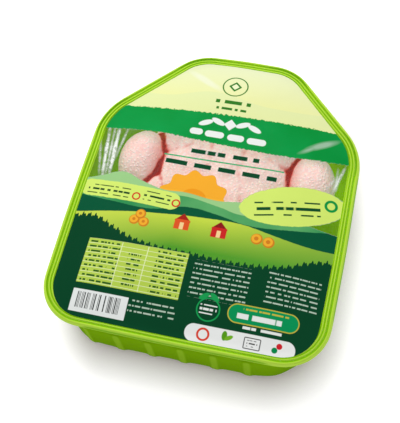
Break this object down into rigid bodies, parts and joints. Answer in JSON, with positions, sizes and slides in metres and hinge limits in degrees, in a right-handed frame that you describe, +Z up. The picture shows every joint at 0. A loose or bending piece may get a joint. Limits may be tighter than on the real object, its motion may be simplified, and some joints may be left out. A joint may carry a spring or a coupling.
{
  "type": "whole raw chicken in a sealed tray pack",
  "caption": "Whole raw chicken sealed breast up in a ribbed lime-green tray under a printed film lid with a clear window.",
  "frame": {"origin": "bottom centre of the pack, on the surface that it stands on", "axes": "+X across the pack, +Y along it towards its chamfered end, +Z up out of the film lid"},
  "size_m": [0.226, 0.267, 0.0649],
  "materials": {
    "tray": "glossy lime-green thermoformed sheet",
    "lid_film": "glossy printed film with a clear window band",
    "chicken": "moist pale pink raw poultry skin"
  },
  "bodies": {
    "root": {"tray": "tray", "lid_film": "lid_film", "chicken": "chicken"}
  },
  "joints": []
}
